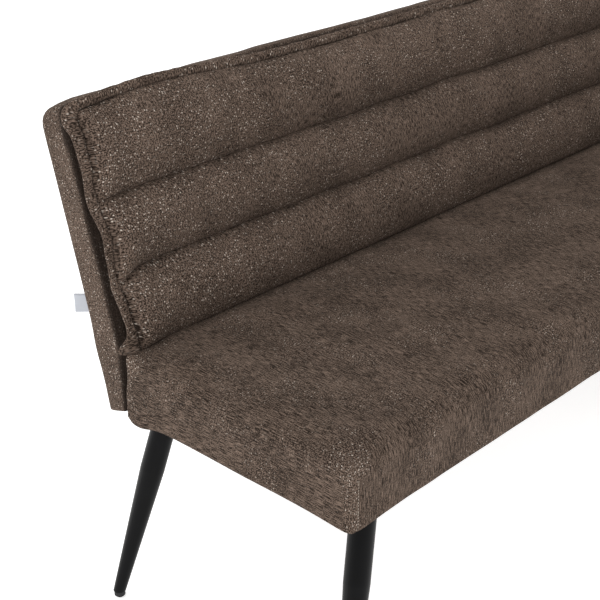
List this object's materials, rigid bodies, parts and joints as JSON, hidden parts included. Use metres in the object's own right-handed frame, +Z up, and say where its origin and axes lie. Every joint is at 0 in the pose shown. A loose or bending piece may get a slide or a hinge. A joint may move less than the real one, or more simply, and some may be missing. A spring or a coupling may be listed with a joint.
{
  "type": "upholstered corner bench",
  "caption": "L-shaped upholstered corner bench with a reclined channelled back, boxed seats and splayed tapered metal legs.",
  "frame": {"origin": "on the floor, under the middle of the bench's box", "axes": "+X along the long seat from its free end to the corner, +Y from the long seat's front to its back, +Z up"},
  "size_m": [2.0286, 1.6386, 0.8924],
  "materials": {
    "black_metal": "matt black powder coat",
    "plate_steel": "black powder coat",
    "foot_plastic": "moulded black nylon",
    "plug_plastic": "moulded black nylon",
    "zinc_steel": "bright zinc",
    "chenille": "brown flecked chenille weave",
    "dust_cloth": "black spun cloth",
    "foam": "open cell foam",
    "webbing": "elastic webbing",
    "tag_cloth": "pale woven tape",
    "timber": "sawn softwood and plywood"
  },
  "bodies": {
    "bench": {"joint_plates": "plate_steel", "joint_screws": "zinc_steel", "leg_1": "black_metal", "leg_2": "black_metal", "leg_3": "black_metal", "leg_4": "black_metal", "leg_5": "black_metal", "leg_6": "black_metal", "leg_plates": "plate_steel", "leg_plugs": "plug_plastic", "leg_screws": "zinc_steel", "long_back_board": "timber", "long_back_bolts": "zinc_steel", "long_back_cover": "chenille", "long_back_lower_rail": "timber", "long_back_ribs": "timber", "long_back_tee_nuts": "zinc_steel", "long_back_top_rail": "timber", "long_back_wadding": "foam", "long_corner_blocks": "timber", "long_cross_rails": "timber", "long_dust_cover": "dust_cloth", "long_front_rail": "timber", "long_inner_end_rail": "timber", "long_outer_end_rail": "timber", "long_pad_cover": "chenille", "long_pad_foam": "foam", "long_rear_rail": "timber", "long_seat_cover": "chenille", "long_seat_foam": "foam", "long_seat_webbing": "webbing", "short_back_board": "timber", "short_back_bolts": "zinc_steel", "short_back_cover": "chenille", "short_back_lower_rail": "timber", "short_back_ribs": "timber", "short_back_tee_nuts": "zinc_steel", "short_back_top_rail": "timber", "short_back_wadding": "foam", "short_corner_blocks": "timber", "short_cross_rails": "timber", "short_dust_cover": "dust_cloth", "short_front_rail": "timber", "short_inner_end_rail": "timber", "short_outer_end_rail": "timber", "short_pad_cover": "chenille", "short_pad_foam": "foam", "short_rear_rail": "timber", "short_seat_cover": "chenille", "short_seat_foam": "foam", "short_seat_webbing": "webbing", "textile_tag": "tag_cloth"},
    "foot_1": {"foot_1": "foot_plastic"},
    "foot_2": {"foot_2": "foot_plastic"},
    "foot_3": {"foot_3": "foot_plastic"},
    "foot_4": {"foot_4": "foot_plastic"},
    "foot_5": {"foot_5": "foot_plastic"},
    "foot_6": {"foot_6": "foot_plastic"}
  },
  "joints": [
    {"name": "foot_1_level", "type": "slide", "parent": "bench", "child": "foot_1", "axis": [0, 0, -1], "range_m": [0, 0.008]},
    {"name": "foot_2_level", "type": "slide", "parent": "bench", "child": "foot_2", "axis": [0, 0, -1], "range_m": [0, 0.008]},
    {"name": "foot_3_level", "type": "slide", "parent": "bench", "child": "foot_3", "axis": [0, 0, -1], "range_m": [0, 0.008]},
    {"name": "foot_4_level", "type": "slide", "parent": "bench", "child": "foot_4", "axis": [0, 0, -1], "range_m": [0, 0.008]},
    {"name": "foot_5_level", "type": "slide", "parent": "bench", "child": "foot_5", "axis": [0, 0, -1], "range_m": [0, 0.008]},
    {"name": "foot_6_level", "type": "slide", "parent": "bench", "child": "foot_6", "axis": [0, 0, -1], "range_m": [0, 0.008]}
  ]
}
